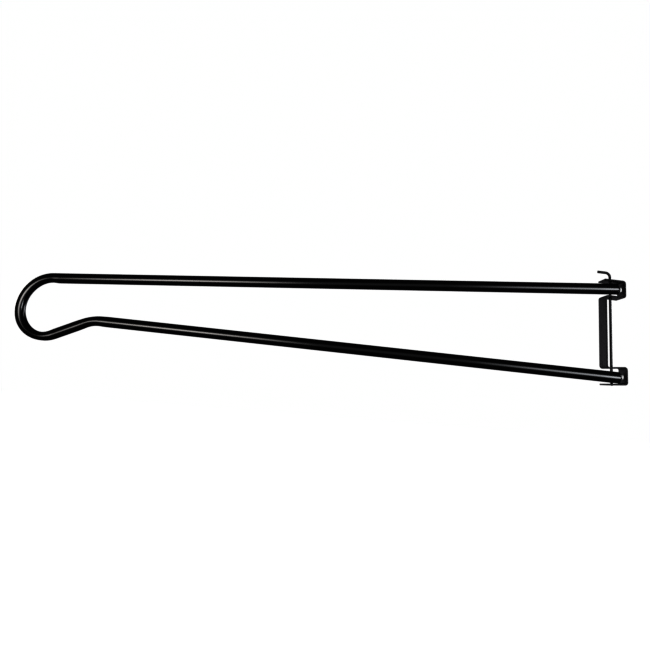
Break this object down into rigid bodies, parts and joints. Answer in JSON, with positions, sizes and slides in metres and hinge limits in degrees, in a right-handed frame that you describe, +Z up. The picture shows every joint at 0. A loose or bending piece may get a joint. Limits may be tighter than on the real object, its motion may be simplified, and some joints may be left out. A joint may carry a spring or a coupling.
{
  "type": "folding blanket bar",
  "caption": "Fold-away wall bar: a bent round tube with a looped tip that swings on a drop-in pin in a folded strip bracket, for hanging a blanket or rug.",
  "frame": {"origin": "on the wall's face, midway between the bracket's two webs", "axes": "+X into the wall, +Z up along the hinge pin, +Y across the strip; the open bar reaches out along -X"},
  "size_m": [0.9206, 0.0318, 0.1645],
  "materials": {
    "strip_coat": "satin black powder coat on steel strip",
    "tube_coat": "gloss black powder coat on steel tube",
    "rod_coat": "gloss black coat on steel rod"
  },
  "bodies": {
    "bracket": {"wall_bracket": "strip_coat"},
    "bar": {"blanket_bar": "tube_coat"},
    "pin": {"hinge_pin": "rod_coat"}
  },
  "joints": [
    {"name": "bar_swing", "type": "hinge", "parent": "bracket", "child": "bar", "pos_m": [-0.0171, 0, 0], "axis": [0, 0, 1], "range_deg": [-90, 90]},
    {"name": "pin_pull", "type": "slide", "parent": "bracket", "child": "pin", "axis": [0, 0, 1], "range_m": [0, 0.152]}
  ]
}
